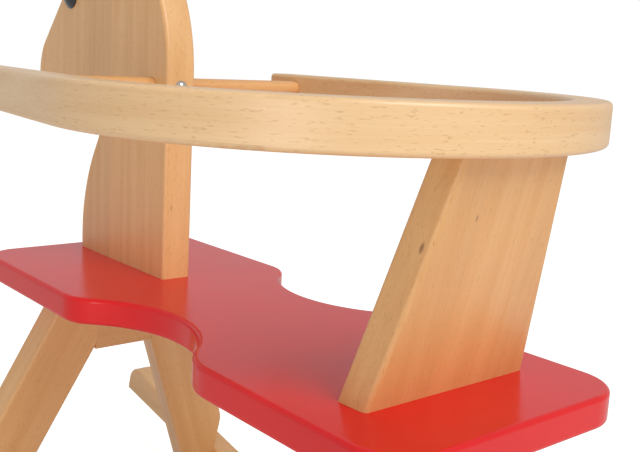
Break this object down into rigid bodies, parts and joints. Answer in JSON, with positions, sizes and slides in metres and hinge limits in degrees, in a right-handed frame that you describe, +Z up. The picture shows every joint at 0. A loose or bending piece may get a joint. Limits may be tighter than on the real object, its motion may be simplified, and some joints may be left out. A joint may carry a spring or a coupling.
{
  "type": "toddler rocking horse",
  "caption": "Wooden rocking horse with a board head, round handle, U-shaped safety ring with back support, waisted red seat and splayed leg frames on curved rockers.",
  "frame": {"origin": "on the floor, midway between the rocker ends and midway between the rockers, with the horse standing level", "axes": "+X the way the horse faces, +Y its left, +Z up"},
  "size_m": [0.81, 0.352, 0.5866],
  "materials": {
    "clear_beech": "satin clear lacquer",
    "red_lacquer": "semi-gloss red lacquer",
    "black_gloss": "gloss black",
    "bare_beech": "bare turned wood",
    "zinc_steel": "bright zinc plate"
  },
  "bodies": {
    "root": {"head_board": "clear_beech", "handle": "clear_beech", "safety_ring": "clear_beech", "back_support": "clear_beech", "front_leg_left": "clear_beech", "front_leg_right": "clear_beech", "rear_leg_left": "clear_beech", "rear_leg_right": "clear_beech", "front_crossbar": "clear_beech", "rear_crossbar": "clear_beech", "rocker_left": "clear_beech", "rocker_right": "clear_beech", "seat": "red_lacquer", "eye_left": "black_gloss", "eye_right": "black_gloss", "frame_pins": "bare_beech", "ring_pins": "bare_beech", "crossbar_pins": "bare_beech", "handle_bolt": "zinc_steel", "head_screws": "zinc_steel", "support_screws": "zinc_steel", "rocker_bolts": "zinc_steel", "barrel_nuts": "zinc_steel"}
  },
  "joints": []
}
